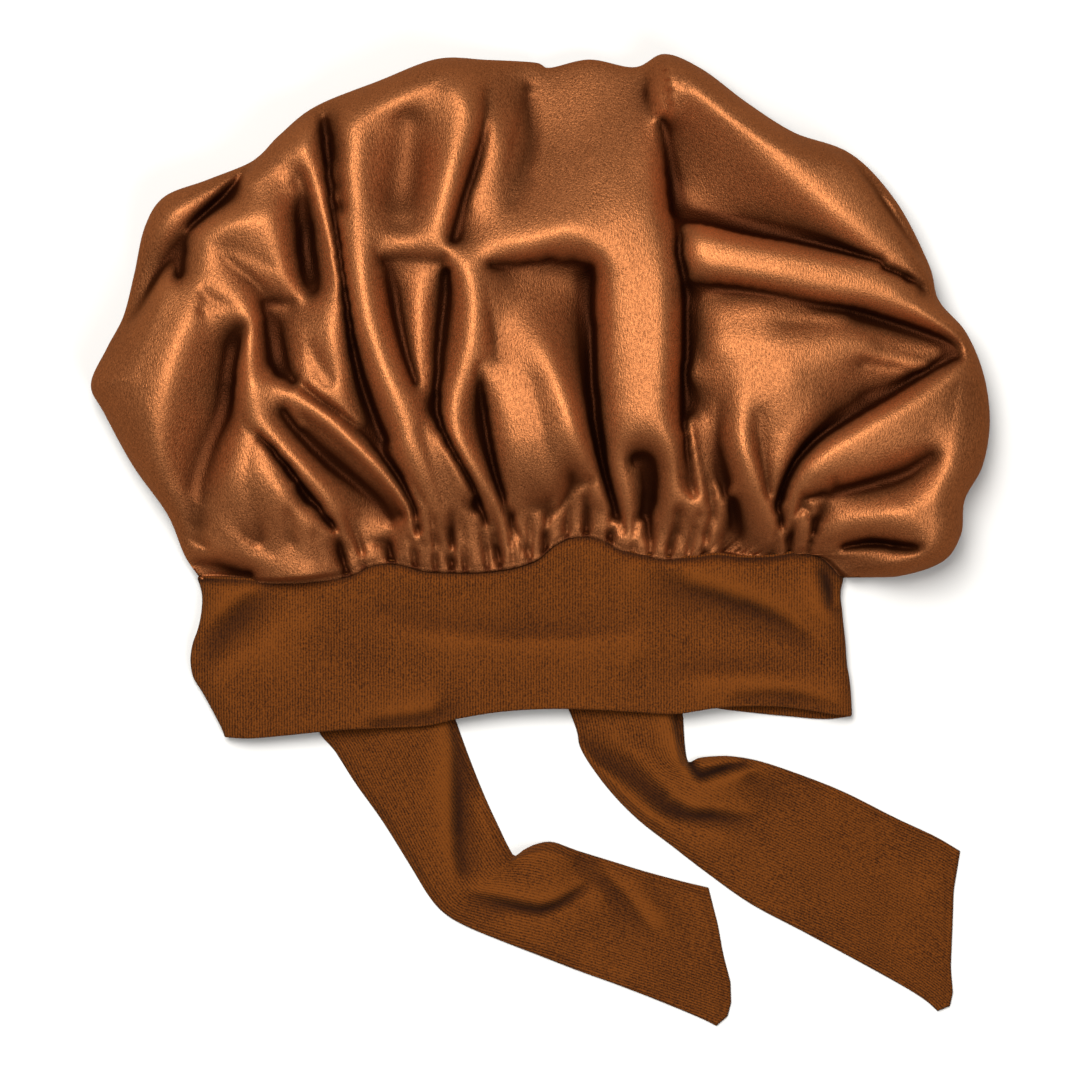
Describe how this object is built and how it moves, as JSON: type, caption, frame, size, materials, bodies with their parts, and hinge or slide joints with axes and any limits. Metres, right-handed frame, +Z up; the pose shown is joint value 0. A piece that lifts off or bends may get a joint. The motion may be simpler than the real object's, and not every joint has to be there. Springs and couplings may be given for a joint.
{
  "type": "sleep bonnet",
  "caption": "Soft sleep bonnet lying flat: a full gathered satin crown on a wide stretch jersey band with loose ties at its lower edge.",
  "frame": {"origin": "on the surface that the bonnet lies on, under the middle of its bounding box", "axes": "+X across the band, +Y from the tie ends to the top of the crown, +Z up from the surface"},
  "size_m": [0.3398, 0.3686, 0.0551],
  "materials": {
    "satin": "lustrous copper brown satin",
    "jersey": "matt brown stretch jersey"
  },
  "bodies": {
    "root": {"crown": "satin", "band": "jersey", "tie_left": "jersey", "tie_right": "jersey"}
  },
  "joints": []
}
